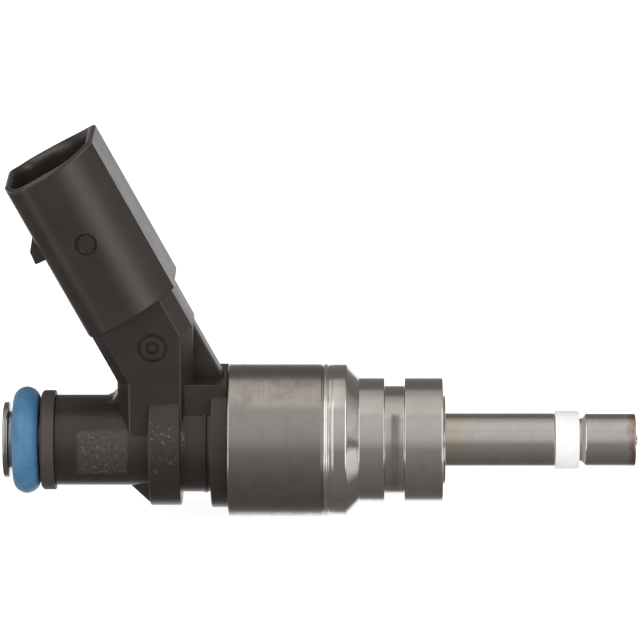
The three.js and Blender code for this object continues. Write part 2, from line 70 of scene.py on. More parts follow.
ROUND = 192  # segments round a turned piece
SMALL_ROUND = 96
EDGE = 0.07  # how far a machined corner is rounded back


# ---------------- places read from the frame


def start_of(node):
    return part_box(node)[0].x / MM


def end_of(node):
    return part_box(node)[1].x / MM


def radius_of(node):
    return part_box(node)[1].z / MM


INLET_START = start_of("inlet_tube")
SHELL_START = start_of("magnet_shell")
SHELL_END = end_of("magnet_shell")
SHELL_R = radius_of("magnet_shell")
SEAL_START = start_of("combustion_seal")
SEAL_END = end_of("combustion_seal")
SEAL_R = radius_of("combustion_seal")
SHAFT_R = radius_of("nozzle_tube")
NOZZLE_END = end_of("nozzle_tube")
TUBE_START = -55.1  # where the moulded barrel starts
CLIP_RING_START = -41.6
CLIP_GROOVE_START = -37.15
CLIP_GROOVE_END = -32.9
BARREL_R = 6.45


# ---------------- mesh helpers


def mesh_object(name, points, faces):
    mesh = bpy.data.meshes.new(name)
    mesh.from_pydata([Vector(point) * MM for point in points], [], faces)
    shape = bmesh.new()
    shape.from_mesh(mesh)
    bmesh.ops.remove_doubles(shape, verts=shape.verts, dist=1e-7)
    bmesh.ops.recalc_face_normals(shape, faces=shape.faces)
    shape.to_mesh(mesh)
    shape.free()
    made = bpy.data.objects.new(name, mesh)
    scene.collection.objects.link(made)
    return made


def shade(piece, crease=38):
    """Smooth shading with crisp creases, and flat faces kept flat."""
    piece.data.polygons.foreach_set("use_smooth", [True] * len(piece.data.polygons))
    piece.data.set_sharp_from_angle(angle=math.radians(crease))
    modifier = piece.modifiers.new("even_normals", "WEIGHTED_NORMAL")
    modifier.keep_sharp = True
    modifier.weight = 60


def rounded(profile, edge, steps=3):
    """A closed [x, radius] outline with rounded corners. A corner's third value is its own size."""
    outline = []
    for i, corner in enumerate(profile):
        here = Vector(corner[:2])
        size = corner[2] if len(corner) > 2 else edge
        before = Vector(profile[i - 1][:2]) - here
        after = Vector(profile[(i + 1) % len(profile)][:2]) - here
        size = min(size, 0.45 * before.length, 0.45 * after.length)
        if size <= 0 or here.y <= 0:
            outline.append(here)
            continue
        start = here + before.normalized() * size
        end = here + after.normalized() * size
        for k in range(steps + 1):
            t = k / steps
            outline.append(start * (1 - t) ** 2 + here * 2 * t * (1 - t) + end * t * t)
    return outline


def turned_mesh(outline, segments):
    """Points and faces of a closed outline of [x, radius] turned about X."""
    points = []
    rings = []
    for x, radius in outline:
        if radius < 1e-6:
            rings.append([len(points)] * segments)
            points.append((x, 0, 0))
            continue
        rings.append([len(points) + k for k in range(segments)])
        for k in range(segments):
            angle = 2 * math.pi * k / segments
            points.append((x, radius * math.cos(angle), radius * math.sin(angle)))
    faces = []
    for i, ring in enumerate(rings):
        following = rings[(i + 1) % len(rings)]
        for k in range(segments):
            j = (k + 1) % segments
            corners = [ring[k], ring[j], following[j], following[k]]
            face = [c for n, c in enumerate(corners) if c not in corners[:n]]
            if len(face) > 2:
                faces.append(face)
    return points, faces


def turned(name, profile, segments=ROUND, edge=EDGE, steps=3):
    points, faces = turned_mesh(rounded(profile, edge, steps), segments)
    return mesh_object(name, points, faces)


def lofted_faces(layers, count):
    """The two caps and the side faces of a stack of rings, which all have the same number of points."""
    faces = [list(range(count)), [(layers - 1) * count + k for k in range(count)]]
    for i in range(layers - 1):
        for k in range(count):
            j = (k + 1) % count
            low = i * count
            faces.append([low + k, low + j, low + count + j, low + count + k])
    return faces


def lofted(name, rings):
    points = [point for ring in rings for point in ring]
    return mesh_object(name, points, lofted_faces(len(rings), len(rings[0])))


def sweep(name, path, radius, sides):
    """A round wire along a list of points, with flat ends."""
    points = []
    normal = None
    for i, here in enumerate(path):
        tangent = (path[min(i + 1, len(path) - 1)] - path[max(i - 1, 0)]).normalized()
        guess = normal if normal else tangent.orthogonal()
        normal = (guess - tangent * guess.dot(tangent)).normalized()
        side = tangent.cross(normal)
        for k in range(sides):
            angle = 2 * math.pi * k / sides
            points.append(here + radius * (normal * math.cos(angle) + side * math.sin(angle)))
    return mesh_object(name, points, lofted_faces(len(path), sides))


def inset_outline(outline, distance):
    """The outline moved inwards by a distance, with mitred corners. The outline runs anticlockwise."""
    moved = []
    for i, here in enumerate(outline):
        before = (here - outline[i - 1]).normalized()
        after = (outline[(i + 1) % len(outline)] - here).normalized()
        normal = Vector((-before.y - after.y, before.x + after.x)).normalized()
        moved.append(here + normal * distance / max(normal.dot(Vector((-after.y, after.x))), 0.3))
    return moved


def anticlockwise(outline):
    area = sum(a.cross(b) for a, b in zip(outline, outline[1:] + outline[:1]))
    return outline if area > 0 else outline[::-1]


def slab(name, outline, half_width, chamfer=(0, 0), soften=0.2):
    """An [x, z] outline extruded to both sides of y = 0. The chamfer is its inset, and its depth."""
    outline = anticlockwise([Vector(point) for point in outline])
    inner = inset_outline(outline, chamfer[0])
    layers = [(inner, half_width), (outline, half_width - chamfer[1])]
    if chamfer[1] == 0:
        layers = [(outline, half_width)]
    layers += [(ring, -y) for ring, y in reversed(layers)]
    points = [(p.x, y, p.y) for ring, y in layers for p in ring]
    made = mesh_object(name, points, lofted_faces(len(layers), len(outline)))
    if soften:
        soften_edges(made, soften)
    return made


def soften_edges(piece, width, least_angle=15, segments=3):
    shape = bmesh.new()
    shape.from_mesh(piece.data)
    sharp = [e for e in shape.edges if e.is_manifold and e.calc_face_angle() > math.radians(least_angle)]
    bmesh.ops.bevel(
        shape,
        geom=sharp,
        offset=width * MM,
        offset_type="OFFSET",
        segments=segments,
        profile=0.5,
        affect="EDGES",
        clamp_overlap=True,
    )
    shape.to_mesh(piece.data)
    shape.free()


def cut_or_join(base, others, operation):
    """Joins closed solids into the base, or cuts them from it, and removes them."""
    for other in others:
        modifier = base.modifiers.new(operation, "BOOLEAN")
        modifier.operation = operation
        modifier.solver = "EXACT"
        modifier.object = other
    depsgraph = bpy.context.evaluated_depsgraph_get()
    mesh = bpy.data.meshes.new_from_object(base.evaluated_get(depsgraph))
    base.modifiers.clear()
    base.data = mesh
    for other in others:
        bpy.data.objects.remove(other)
    return base


# ---------------- camera, light and floor

# The camera looks at the middle of the injector from a little above, and leans by a fraction of a degree.
CAMERA_TARGET = Vector((-17.42, 0, 17.85))
CAMERA_DISTANCE = 722
CAMERA_AZIMUTH = math.radians(0.9)
CAMERA_ELEVATION = math.radians(17)
CAMERA_ROLL = math.radians(0.26)
FRAME_WIDTH = 90.6  # how much of the world the frame spans at the target
SENSOR = 36


def make_camera():
    data = bpy.data.cameras.new("camera")
    data.sensor_width = SENSOR
    data.lens = SENSOR * CAMERA_DISTANCE / FRAME_WIDTH
    data.clip_start = 0.05
    data.clip_end = 20
    camera = bpy.data.objects.new("camera", data)
    scene.collection.objects.link(camera)
    flat = math.cos(CAMERA_ELEVATION)
    back = Vector(
        (
            math.sin(CAMERA_AZIMUTH) * flat,
            -math.cos(CAMERA_AZIMUTH) * flat,
            math.sin(CAMERA_ELEVATION),
        )
    )
    right = Vector((math.cos(CAMERA_AZIMUTH), math.sin(CAMERA_AZIMUTH), 0))
    up = back.cross(right)
    right, up = (
        right * math.cos(CAMERA_ROLL) - up * math.sin(CAMERA_ROLL),
        up * math.cos(CAMERA_ROLL) + right * math.sin(CAMERA_ROLL),
    )
    turn = Matrix((right, up, back)).transposed().to_4x4()
    place = Matrix.Translation((CAMERA_TARGET + back * CAMERA_DISTANCE) * MM)
    camera.matrix_world = place @ turn
    scene.camera = camera


# The studio round the injector's axis: the angle up from the front horizon, in degrees, its
# brightness, and how warm it is. A soft box hangs overhead, the wall behind is dark, and the
# table behind is white.
STUDIO = (
    (-180, 1.25, 0.0),
    (-133, 1.25, 0.0),
    (-124, 0.34, 0.4),
    (-112, 0.19, 0.9),
    (-88, 0.165, 1.0),
    (-50, 0.22, 1.0),
    (-12, 0.31, 0.9),
    (0, 0.35, 0.8),
    (12, 0.55, 0.4),
    (22, 0.68, 0.2),
    (50, 0.78, 0.2),
    (62, 0.72, 0.3),
    (68, 0.84, 0.9),
    (96, 0.78, 1.0),
    (108, 0.60, 0.9),
    (122, 0.44, 0.8),
    (128, 0.21, 0.7),
    (150, 0.20, 0.7),
    (180, 0.28, 0.5),
)
COOL_LIGHT = Vector((0.99, 1.0, 1.0))
WARM_LIGHT = Vector((1.0, 0.96, 0.908))
STUDIO_STRENGTH = 2.0
STRIP_LEVEL = 2.8  # tall soft boxes to the front left and right, seen in shoulders and rounded edges
UNDER_LEVEL = 0.16  # the table edge to the lower left and right
# The side walls: the height, from 0 straight down to 1 straight up, and the brightness there.
SIDE_STOPS = (
    (0.22, 0.14),
    (0.28, 0.9),
    (0.41, 1.1),
    (0.45, 0.24),
    (0.49, 0.24),
    (0.53, 0.95),
    (0.63, 0.8),
    (0.66, 0.3),
)


def grey(level):
    return (level, level, level)


def overhead_light(tree, front, up):
    """The studio's colour by the angle round the injector's axis."""
    turn = rescale(tree, calc(tree, "ARCTAN2", up, front), -math.pi, math.pi, 0.0, 1.0)
    stops = []
    for degrees, level, warmth in STUDIO:
        tint = COOL_LIGHT.lerp(WARM_LIGHT, warmth)
        stops.append(((degrees + 180) / 360, tint * level / STUDIO_STRENGTH))
    return ramp(tree, turn, stops)


def side_light(tree, colour, sideways, front, up):
    """Adds the tall soft boxes, the dark table edge and the side walls to the studio's colour."""
    boxes = times(tree, window(tree, sideways, 0.35, 0.66, 0.07), span(tree, front, 0.0, 0.15))
    boxes = times(tree, boxes, span(tree, up, -0.5, -0.3))
    colour = blend_colours(tree, boxes, colour, grey(STRIP_LEVEL / STUDIO_STRENGTH))
    under = times(tree, span(tree, sideways, 0.25, 0.4), span(tree, up, -0.32, -0.45))
    under = times(tree, under, span(tree, front, -0.25, -0.4))
    colour = blend_colours(tree, under, colour, grey(UNDER_LEVEL / STUDIO_STRENGTH))
    height = rescale(tree, up, -1.0, 1.0, 0.0, 1.0)
    walls = ramp(tree, height, [(place, grey(level / STUDIO_STRENGTH)) for place, level in SIDE_STOPS])
    return blend_colours(tree, span(tree, sideways, 0.75, 0.82), colour, walls)


def make_studio():
    """The light that the injector reflects. The camera itself sees white paper."""
    world = bpy.data.worlds.new("studio")
    scene.world = world
    world.use_nodes = True
    tree = world.node_tree
    tree.nodes.clear()
    direction = add(tree, "ShaderNodeTexCoord").outputs["Generated"]
    axes = add(tree, "ShaderNodeSeparateXYZ", {"Vector": direction}).outputs
    front = times(tree, axes["Y"], -1)
    sideways = calc(tree, "ABSOLUTE", axes["X"])
    colour = overhead_light(tree, front, axes["Z"])
    colour = side_light(tree, colour, sideways, front, axes["Z"])
    studio = add(tree, "ShaderNodeBackground", {"Color": colour, "Strength": STUDIO_STRENGTH})
    paper = add(tree, "ShaderNodeBackground", {"Color": (1, 1, 1, 1), "Strength": 1.0})
    seen = add(tree, "ShaderNodeLightPath").outputs["Is Camera Ray"]
    mix = add(tree, "ShaderNodeMixShader", {0: seen, 1: studio.outputs[0], 2: paper.outputs[0]})
    add(tree, "ShaderNodeOutputWorld", {"Surface": mix.outputs[0]})


PANEL_DISTANCE = 260
PANEL_ANGLE = math.radians(94)
PANEL_SIZE = (38, 260)
PANEL_RADIANCE = 0.5
PANEL_END = SHELL_END - 1.5


def make_panel():
    """A small soft box over the solenoid case, which brightens the upper part of the case."""
    data = bpy.data.lights.new("panel", "AREA")
    data.shape = "RECTANGLE"
    data.size = PANEL_SIZE[0] * MM
    data.size_y = PANEL_SIZE[1] * MM
    data.energy = PANEL_RADIANCE * math.pi * data.size * data.size_y
    data.color = WARM_LIGHT
    panel = bpy.data.objects.new("panel", data)
    scene.collection.objects.link(panel)
    away = Vector((0, -math.cos(PANEL_ANGLE), math.sin(PANEL_ANGLE)))
    turn = Matrix((Vector((1, 0, 0)), away.cross(Vector((1, 0, 0))), away)).transposed().to_4x4()
    middle = PANEL_END - PANEL_SIZE[0] / 2
    panel.matrix_world = Matrix.Translation((Vector((middle, 0, 0)) + away * PANEL_DISTANCE) * MM) @ turn
    panel.visible_camera = False


FLOOR_SIZE = 4000
FLOOR_GAP = 0.3
FLOOR_GLOW = 0.9  # as the camera sees it
FLOOR_BOUNCE = 0.45  # as the injector is lit by it


def make_floor():
    half = FLOOR_SIZE / 2
    drop = cad_box[0].z / MM - FLOOR_GAP
    corners = [(-half, -half, drop), (half, -half, drop), (half, half, drop), (-half, half, drop)]
    floor = mesh_object("floor", corners, [[0, 1, 2, 3]])
    material, tree, shader = new_material("pale_floor")
    grain = noise(tree, coordinates(tree), 60, detail=3)
    shade_of_white = ramp(tree, grain, [(0.3, (0.48, 0.48, 0.48)), (0.7, (0.52, 0.52, 0.515))])
    drive(tree, shader, "Base Color", shade_of_white)
    shader.inputs["Roughness"].default_value = 0.9
    shader.inputs["Specular IOR Level"].default_value = 0.1
    shader.inputs["Emission Color"].default_value = (1, 1, 1, 1)
    seen = add(tree, "ShaderNodeLightPath").outputs["Is Camera Ray"]
    glow = rescale(tree, seen, 0.0, 1.0, FLOOR_BOUNCE, FLOOR_GLOW)
    drive(tree, shader, "Emission Strength", glow)
    floor.data.materials.append(material)
    floor.visible_glossy = False


# ---------------- material helpers


def add(tree, kind, inputs=None, **settings):
    """A shader node with its settings, and its inputs linked to a socket or set to a value."""
    made = tree.nodes.new(kind)
    for name, value in settings.items():
        setattr(made, name, value)
    for name, value in (inputs or {}).items():
        if isinstance(value, bpy.types.NodeSocket):
            tree.links.new(value, made.inputs[name])
        else:
            made.inputs[name].default_value = value
    return made


def calc(tree, operation, first, second=0.0, third=0.0):
    inputs = {0: first, 1: second, 2: third}
    return add(tree, "ShaderNodeMath", inputs, operation=operation).outputs[0]


def times(tree, first, *others):
    """The product of sockets and numbers."""
    for other in others:
        first = calc(tree, "MULTIPLY", first, other)
    return first


def ramp(tree, value, stops):
    made = add(tree, "ShaderNodeValToRGB", {"Fac": value})
    elements = made.color_ramp.elements
    while len(elements) < len(stops):
        elements.new(0.5)
    for element, (position, colour) in zip(elements, stops):
        element.position = position
        element.color = (*colour, 1)
    return made.outputs["Color"]


def new_material(name):
    material = bpy.data.materials.new(name)
    material.use_nodes = True
    tree = material.node_tree
    tree.nodes.clear()
    shader = add(tree, "ShaderNodeBsdfPrincipled")
    add(tree, "ShaderNodeOutputMaterial", {"Surface": shader.outputs["BSDF"]})
    return material, tree, shader


def drive(tree, shader, name, value):
    tree.links.new(value, shader.inputs[name])


def coordinates(tree):
    """The place in the injector's own frame, in millimetres."""
    place = add(tree, "ShaderNodeTexCoord").outputs["Object"]
    return add(tree, "ShaderNodeVectorMath", {0: place, "Scale": 1 / MM}, operation="SCALE").outputs[0]


def turned_coordinates(tree):
    """x, radius and angle round the axis, from the front horizon up, in millimetres and radians."""
    axes = add(tree, "ShaderNodeSeparateXYZ", {"Vector": coordinates(tree)}).outputs
    front = times(tree, axes["Y"], -1)
    squares = calc(tree, "MULTIPLY_ADD", axes["Z"], axes["Z"], times(tree, front, front))
    radius = calc(tree, "SQRT", squares)
    angle = calc(tree, "ARCTAN2", axes["Z"], front)
    return axes["X"], radius, angle


def vector(tree, x, y, z):
    return add(tree, "ShaderNodeCombineXYZ", {"X": x, "Y": y, "Z": z}).outputs[0]


def noise(tree, place, scale, detail=4.0, roughness=0.6, distortion=0.0):
    inputs = {"Vector": place, "Scale": scale, "Detail": detail}
    inputs.update({"Roughness": roughness, "Distortion": distortion})
    return add(tree, "ShaderNodeTexNoise", inputs).outputs["Fac"]


def blend_colours(tree, factor, first, second):
    made = add(tree, "ShaderNodeMix", data_type="RGBA")
    values = (factor, first, second)
    for socket, value in zip([s for s in made.inputs if s.enabled], values):
        if isinstance(value, bpy.types.NodeSocket):
            tree.links.new(value, socket)
        elif isinstance(value, (int, float)):
            socket.default_value = value
        else:
            socket.default_value = (*value, 1)
    return next(s for s in made.outputs if s.enabled)


def rescale(tree, value, low, high, least, most):
    inputs = {"Value": value, "From Min": low, "From Max": high, "To Min": least, "To Max": most}
    return add(tree, "ShaderNodeMapRange", inputs, clamp=True).outputs["Result"]


def span(tree, value, low, high):
    """0 at low, 1 at high, and held beyond both."""
    return rescale(tree, value, low, high, 0.0, 1.0)


def window(tree, value, low, high, soft):
    """1 between low and high, fading to 0 over a soft edge."""
    rise = span(tree, value, low - soft, low + soft)
    fall = span(tree, value, high + soft, high - soft)
    return times(tree, rise, fall)


def bump(tree, shader, height, strength, distance):
    inputs = {"Height": height, "Strength": strength, "Distance": distance * MM}
    drive(tree, shader, "Normal", add(tree, "ShaderNodeBump", inputs).outputs["Normal"])


# ---------------- metals


def turning_lines(tree, fineness):
    """Fine rings left by the tool, round the axis and on the end faces."""
    x, radius, angle = turned_coordinates(tree)
    along = times(tree, x, fineness)
    out = times(tree, radius, fineness)
    return noise(tree, vector(tree, along, out, times(tree, angle, 0.6)), 1.0, 3.0, 0.7)


def steel(name, colour, dark, roughness, line_depth, fineness, tarnish):
    """Turned steel: tool rings, blotches of tarnish, fine scratches and rougher patches."""
    material, tree, shader = new_material(name)
    place = coordinates(tree)
    lines = turning_lines(tree, fineness)
    blotches = noise(tree, place, 0.35, 5.0, 0.65, 0.4)
    specks = noise(tree, place, 2.6, 6.0, 0.75)
    stained = times(tree, span(tree, blotches, 0.46, 0.66), tarnish)
    tone = blend_colours(tree, stained, colour, dark)
    ringed = blend_colours(tree, rescale(tree, lines, 0.35, 0.7, 0.0, 0.14), tone, dark)
    speckled = blend_colours(tree, rescale(tree, specks, 0.68, 0.8, 0.0, 0.5), ringed, dark)
    drive(tree, shader, "Base Color", speckled)
    shader.inputs["Metallic"].default_value = 1.0
    worn = calc(tree, "ADD", rescale(tree, lines, 0.35, 0.7, -0.02, 0.03), roughness)
    rough = calc(tree, "ADD", rescale(tree, blotches, 0.4, 0.65, -0.03, 0.05), worn)
    drive(tree, shader, "Roughness", rough)
    scratches = noise(tree, scratch_place(tree, place), 1.0, 2.0, 0.5)
    marks = times(tree, span(tree, scratches, 0.66, 0.72), -0.6)
    height = calc(tree, "ADD", lines, marks)
    bump(tree, shader, height, 1.0, line_depth)
    return material


def scratch_place(tree, place):
    """Coordinates stretched along one slanted direction, for hairline scratches."""
    inputs = {"Vector": place, "Rotation": (0.3, 0.9, 0.5), "Scale": (0.25, 3.0, 6.0)}
    return add(tree, "ShaderNodeMapping", inputs).outputs[0]


def base_colour_of(material):
    """The tree and shader of a finished material, and the socket that drives its base colour."""
    tree = material.node_tree
    shader = next(n for n in tree.nodes if n.type == "BSDF_PRINCIPLED")
    return tree, shader, shader.inputs["Base Color"].links[0].from_socket


# ---------------- plastics, rubber and PTFE

ETCHED_PATCH = (-51.8, -44.7)  # along the barrel
ETCHED_SIDE = (-0.52, 0.52)  # round the barrel, in radians from the front
RING_SPECKS = (-41.3, -37.6)
GROOVE_MARK = (-37.05, -36.55)


def etched_marks(tree, place):
    """Where the moulding is roughened: a patch of random specks on the barrel, and a few on the ring."""
    x, radius, angle = turned_coordinates(tree)
    ragged = noise(tree, place, 2.0, 2.0, 0.5)
    patch = times(tree, window(tree, x, *ETCHED_PATCH, 0.4), window(tree, angle, *ETCHED_SIDE, 0.06))
    frayed = span(tree, calc(tree, "ADD", ragged, patch), 0.7, 1.1)
    patch = times(tree, patch, frayed, window(tree, radius, 6.2, 6.7, 0.05))
    ring = times(tree, window(tree, x, *RING_SPECKS, 0.4), window(tree, angle, -0.3, 0.7, 0.15))
    ring = times(tree, ring, window(tree, radius, 9.2, 9.7, 0.05))
    mark = times(tree, window(tree, x, *GROOVE_MARK, 0.1), window(tree, angle, 0.12, 0.5, 0.04))
    mark = times(tree, mark, window(tree, radius, 7.3, 7.7, 0.05))
    return patch, ring, mark


def etched(tree, place, tone, grain):
    """The tone and the height of the moulding with pale specks and dark pits in its roughened places."""
    patch, ring, mark = etched_marks(tree, place)
    light = noise(tree, place, 2.4, 2.0, 0.5, 0.8)
    deep = noise(tree, place, 2.1, 2.0, 0.5, 0.9)
    tone = blend_colours(tree, times(tree, patch, 0.5), tone, (0.062, 0.058, 0.049))
    pale_specks = times(tree, patch, span(tree, light, 0.61, 0.69))
    pale_ring = times(tree, ring, span(tree, light, 0.62, 0.72))
    pale_mark = times(tree, mark, span(tree, light, 0.4, 0.6))
    pale = calc(tree, "MAXIMUM", calc(tree, "MAXIMUM", pale_specks, pale_ring), pale_mark)
    tone = blend_colours(tree, times(tree, pale, 0.6), tone, (0.17, 0.162, 0.14))
    pits = times(tree, patch, span(tree, deep, 0.55, 0.63))
    tone = blend_colours(tree, times(tree, pits, 0.8), tone, (0.014, 0.012, 0.01))
    relief = times(tree, calc(tree, "SUBTRACT", pale, pits), 3.0)
    return tone, calc(tree, "ADD", grain, relief)


def moulded_plastic(name, colour, roughness, with_marks=False):
    """Filled black plastic: a fine grain, cloudy patches of gloss, pale scuffs and dust."""
    material, tree, shader = new_material(name)
    place = coordinates(tree)
    clouds = noise(tree, place, 0.22, 4.0, 0.55, 0.3)
    grain = noise(tree, place, 9.0, 3.0, 0.6)
    dust = noise(tree, place, 3.4, 5.0, 0.8)
    dark = [0.88 * c for c in colour]
    pale = [1.12 * c for c in colour]
    tone = ramp(tree, clouds, [(0.35, dark), (0.52, colour), (0.68, pale)])
    tone = blend_colours(tree, rescale(tree, dust, 0.68, 0.8, 0.0, 0.3), tone, (0.16, 0.15, 0.14))
    height = grain
    if with_marks:
        tone, height = etched(tree, place, tone, grain)
    drive(tree, shader, "Base Color", tone)
    cloudy = calc(tree, "ADD", rescale(tree, clouds, 0.35, 0.68, -0.02, 0.03), roughness)
    rough = calc(tree, "ADD", cloudy, rescale(tree, grain, 0.3, 0.7, -0.03, 0.03))
    drive(tree, shader, "Roughness", rough)
    bump(tree, shader, height, 0.6, 0.012)
    return material


def ring_plastic(name, colour, roughness):
    """Turned plastic or PTFE: tool rings and faint clouds."""
    material, tree, shader = new_material(name)
    place = coordinates(tree)
    lines = turning_lines(tree, 7.0)
    clouds = noise(tree, place, 0.7, 4.0, 0.6)
    dark = [0.95 * c for c in colour]
    tone = ramp(tree, clouds, [(0.35, dark), (0.6, colour)])
    tone = blend_colours(tree, rescale(tree, lines, 0.35, 0.7, 0.0, 0.3), tone, dark)
    drive(tree, shader, "Base Color", tone)
    rough = calc(tree, "ADD", rescale(tree, lines, 0.3, 0.7, -0.05, 0.06), roughness)
    drive(tree, shader, "Roughness", rough)
    bump(tree, shader, lines, 0.7, 0.006)
    return material


def rubber(name, colour, roughness):
    """Moulded rubber: a silky bloom, faint specks and a soft skin."""
    material, tree, shader = new_material(name)
    place = coordinates(tree)
    bloom = noise(tree, place, 0.45, 4.0, 0.55, 0.5)
    specks = noise(tree, place, 5.0, 5.0, 0.8)
    deep = [0.86 * c for c in colour]
    pale = [1.1 * c + 0.012 for c in colour]
    tone = ramp(tree, bloom, [(0.34, deep), (0.5, colour), (0.68, pale)])
    tone = blend_colours(tree, rescale(tree, specks, 0.68, 0.8, 0.0, 0.3), tone, (0.4, 0.5, 0.6))
    drive(tree, shader, "Base Color", tone)
    rough = calc(tree, "ADD", rescale(tree, bloom, 0.35, 0.68, -0.04, 0.08), roughness)
    drive(tree, shader, "Roughness", rough)
    bump(tree, shader, noise(tree, place, 3.0, 4.0, 0.6), 0.5, 0.01)
    return material


def nozzle_steel():
    """Ground steel with a straw tint by the flange and a red-brown heat ring at the weld near the tip."""
    material = steel("nozzle_steel", (0.58, 0.56, 0.54), (0.40, 0.37, 0.34), 0.16, 0.001, 12.0, 0.3)
    tree, shader, plain = base_colour_of(material)
    x, radius, angle = turned_coordinates(tree)
    ragged = times(tree, noise(tree, coordinates(tree), 0.8, 3.0), 2.4)
    along = calc(tree, "ADD", x, ragged)
    straw = times(tree, window(tree, along, 0.2, 4.2, 1.2), 0.55)
    tinted = blend_colours(tree, straw, plain, (0.56, 0.47, 0.33))
    heated = times(tree, span(tree, along, NOZZLE_END - 0.1, NOZZLE_END + 0.9), 0.85)
    tinted = blend_colours(tree, heated, tinted, (0.36, 0.20, 0.17))
    drive(tree, shader, "Base Color", tinted)
    return material


def copper_wire():
    """Enamelled wire: each turn a shade of its own."""
    material, tree, shader = new_material("copper_wire")
    x, radius, angle = turned_coordinates(tree)
    turns = noise(tree, vector(tree, times(tree, x, 2.2), radius, 0.0), 1.0, 2.0)
    tone = ramp(tree, turns, [(0.3, (0.42, 0.15, 0.06)), (0.7, (0.74, 0.34, 0.17))])
    drive(tree, shader, "Base Color", tone)
    shader.inputs["Metallic"].default_value = 1.0
    drive(tree, shader, "Roughness", rescale(tree, turns, 0.3, 0.7, 0.22, 0.36))
    bump(tree, shader, noise(tree, coordinates(tree), 6.0), 0.4, 0.004)
    return material


def woven_steel():
    """Fine wire cloth: crossed waves with dark gaps."""
    material, tree, shader = new_material("woven_steel")
    x, radius, angle = turned_coordinates(tree)
    warp = calc(tree, "SINE", times(tree, x, 42.0))
    weft = calc(tree, "SINE", times(tree, angle, 84.0))
    weave = calc(tree, "MAXIMUM", warp, weft)
    tone = ramp(tree, span(tree, weave, -0.2, 0.8), [(0.0, (0.04, 0.04, 0.04)), (1.0, (0.55, 0.54, 0.52))])
    drive(tree, shader, "Base Color", tone)
    shader.inputs["Metallic"].default_value = 1.0
    drive(tree, shader, "Roughness", rescale(tree, weave, -1.0, 1.0, 0.5, 0.3))
    bump(tree, shader, weave, 0.8, 0.02)
    return material


# ---------------- turned pieces


GROOVE_SHADE_SPAN = (-7.35, -6.2)  # along the axis, inside the body's groove, where painted shade darkens its floor


def groove_shaded_steel():
    """The body's steel, with painted shade on the front of its groove's floor, laid in dark lines that
    follow the tool marks.
    """
    material = steel("body_steel", (0.56, 0.54, 0.515), (0.40, 0.375, 0.35), 0.14, 0.0012, 9.0, 0.35)
    tree, shader, plain = base_colour_of(material)
    x, radius, angle = turned_coordinates(tree)
    stretched = vector(tree, times(tree, x, 7.0), 0.0, times(tree, angle, 0.35))
    lines = span(tree, noise(tree, stretched, 1.0, 3.0, 0.6), 0.34, 0.48)
    # Painted shade: the groove's floor is darkened on the side toward the front, most toward the top, in
    # lines like the tool marks.
    floor = times(tree, window(tree, x, *GROOVE_SHADE_SPAN, 0.2), span(tree, radius, 8.0, 7.8))
    fading = calc(tree, "MAXIMUM", span(tree, angle, -0.5, 0.55), 0.35)
    front = times(tree, window(tree, angle, -0.9, 0.8, 0.04), fading)
    painted_groove_shade = times(tree, times(tree, floor, front), lines)
    tinted = blend_colours(tree, times(tree, painted_groove_shade, 0.8), plain, (0.16, 0.15, 0.145))
    drive(tree, shader, "Base Color", tinted)
    return material


def finished(piece, material, slot, *replaced, body="body", crease=38):
    piece.data.materials.clear()
    piece.data.materials.append(material)
    shade(piece, crease)
    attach(piece, body)
    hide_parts(*replaced)
    return piece


def inlet_pipe():
    lip_r = radius_of("inlet_tube") - 0.12
    pipe_r = 4.07
    bore_r = 3.05
    pole_r = 5.55
    end = end_of("inlet_tube")
    lip_end = INLET_START + 0.75
    profile = [
        (INLET_START, bore_r, 0.25),
        (INLET_START, lip_r, 0.22),
        (lip_end, lip_r, 0.12),
        (lip_end, pipe_r, 0.1),
        (end - 2, pipe_r),
        (end - 2, pole_r),
        (end, pole_r),
        (end, bore_r),
    ]
    return turned("inlet_pipe", profile)


def o_ring():
    """An oval section, squeezed a little, with the faint band that its mould leaves round the outside."""
    start = start_of("inlet_o_ring")
    end = end_of("inlet_o_ring")
    outer = radius_of("inlet_o_ring")
    half_width = (end - start) / 2
    half_height = 1.76
    steps = 72
    outline = []
    for k in range(steps):
        angle = 2 * math.pi * k / steps
        crown = math.exp(-((math.degrees(angle) - 90) / 14) ** 2)
        height = half_height * math.sin(angle) - 0.03 * (1 - crown)
        outline.append(((start + end) / 2 - half_width * math.cos(angle), outer - half_height + height))
    return turned("o_ring", outline, edge=0)


def support_ring():
    start = start_of("backup_ring")
    end = end_of("backup_ring")
    outer = radius_of("backup_ring")
    bore_r = 4.12
    profile = [
        (start, bore_r),
        (start, outer - 0.35, 0.06),
        (start + 0.35, outer, 0.1),
        (end, outer, 0.08),
        (end, bore_r),
    ]
    return turned("support_ring", profile)


def solenoid_case():
    """The case, with the fine groove and the low land beside its weld."""
    bore_r = 9.5
    groove = SHELL_END - 0.7
    floor_r = SHELL_R - 0.16
    land_r = SHELL_R - 0.06
    profile = [
        (SHELL_START, bore_r),
        (SHELL_START, SHELL_R, 0.32),
        (groove, SHELL_R, 0.05),
        (groove + 0.06, floor_r, 0.03),
        (groove + 0.22, floor_r, 0.03),
        (groove + 0.28, land_r, 0.03),
        (SHELL_END, land_r, 0.03),
        (SHELL_END, bore_r),
    ]
    return turned("solenoid_case", profile)


def case_weld():
    """The rounded bead where the case is welded to the body."""
    inner = SHELL_R - 0.12
    start = SHELL_END - 0.42
    end = SHELL_END + 0.22
    steps = 14
    outline = [(start, inner), *bead(start, end, inner, 0.17, steps), (end, inner)]
    return turned("case_weld", outline, edge=0)


def bead(start, end, base, height, steps):
    """Points of a shallow arch from start to end."""
    points = []
    for k in range(1, steps):
        t = k / steps
        points.append((start + (end - start) * t, base + height * math.sin(math.pi * t) ** 0.6))
    return points


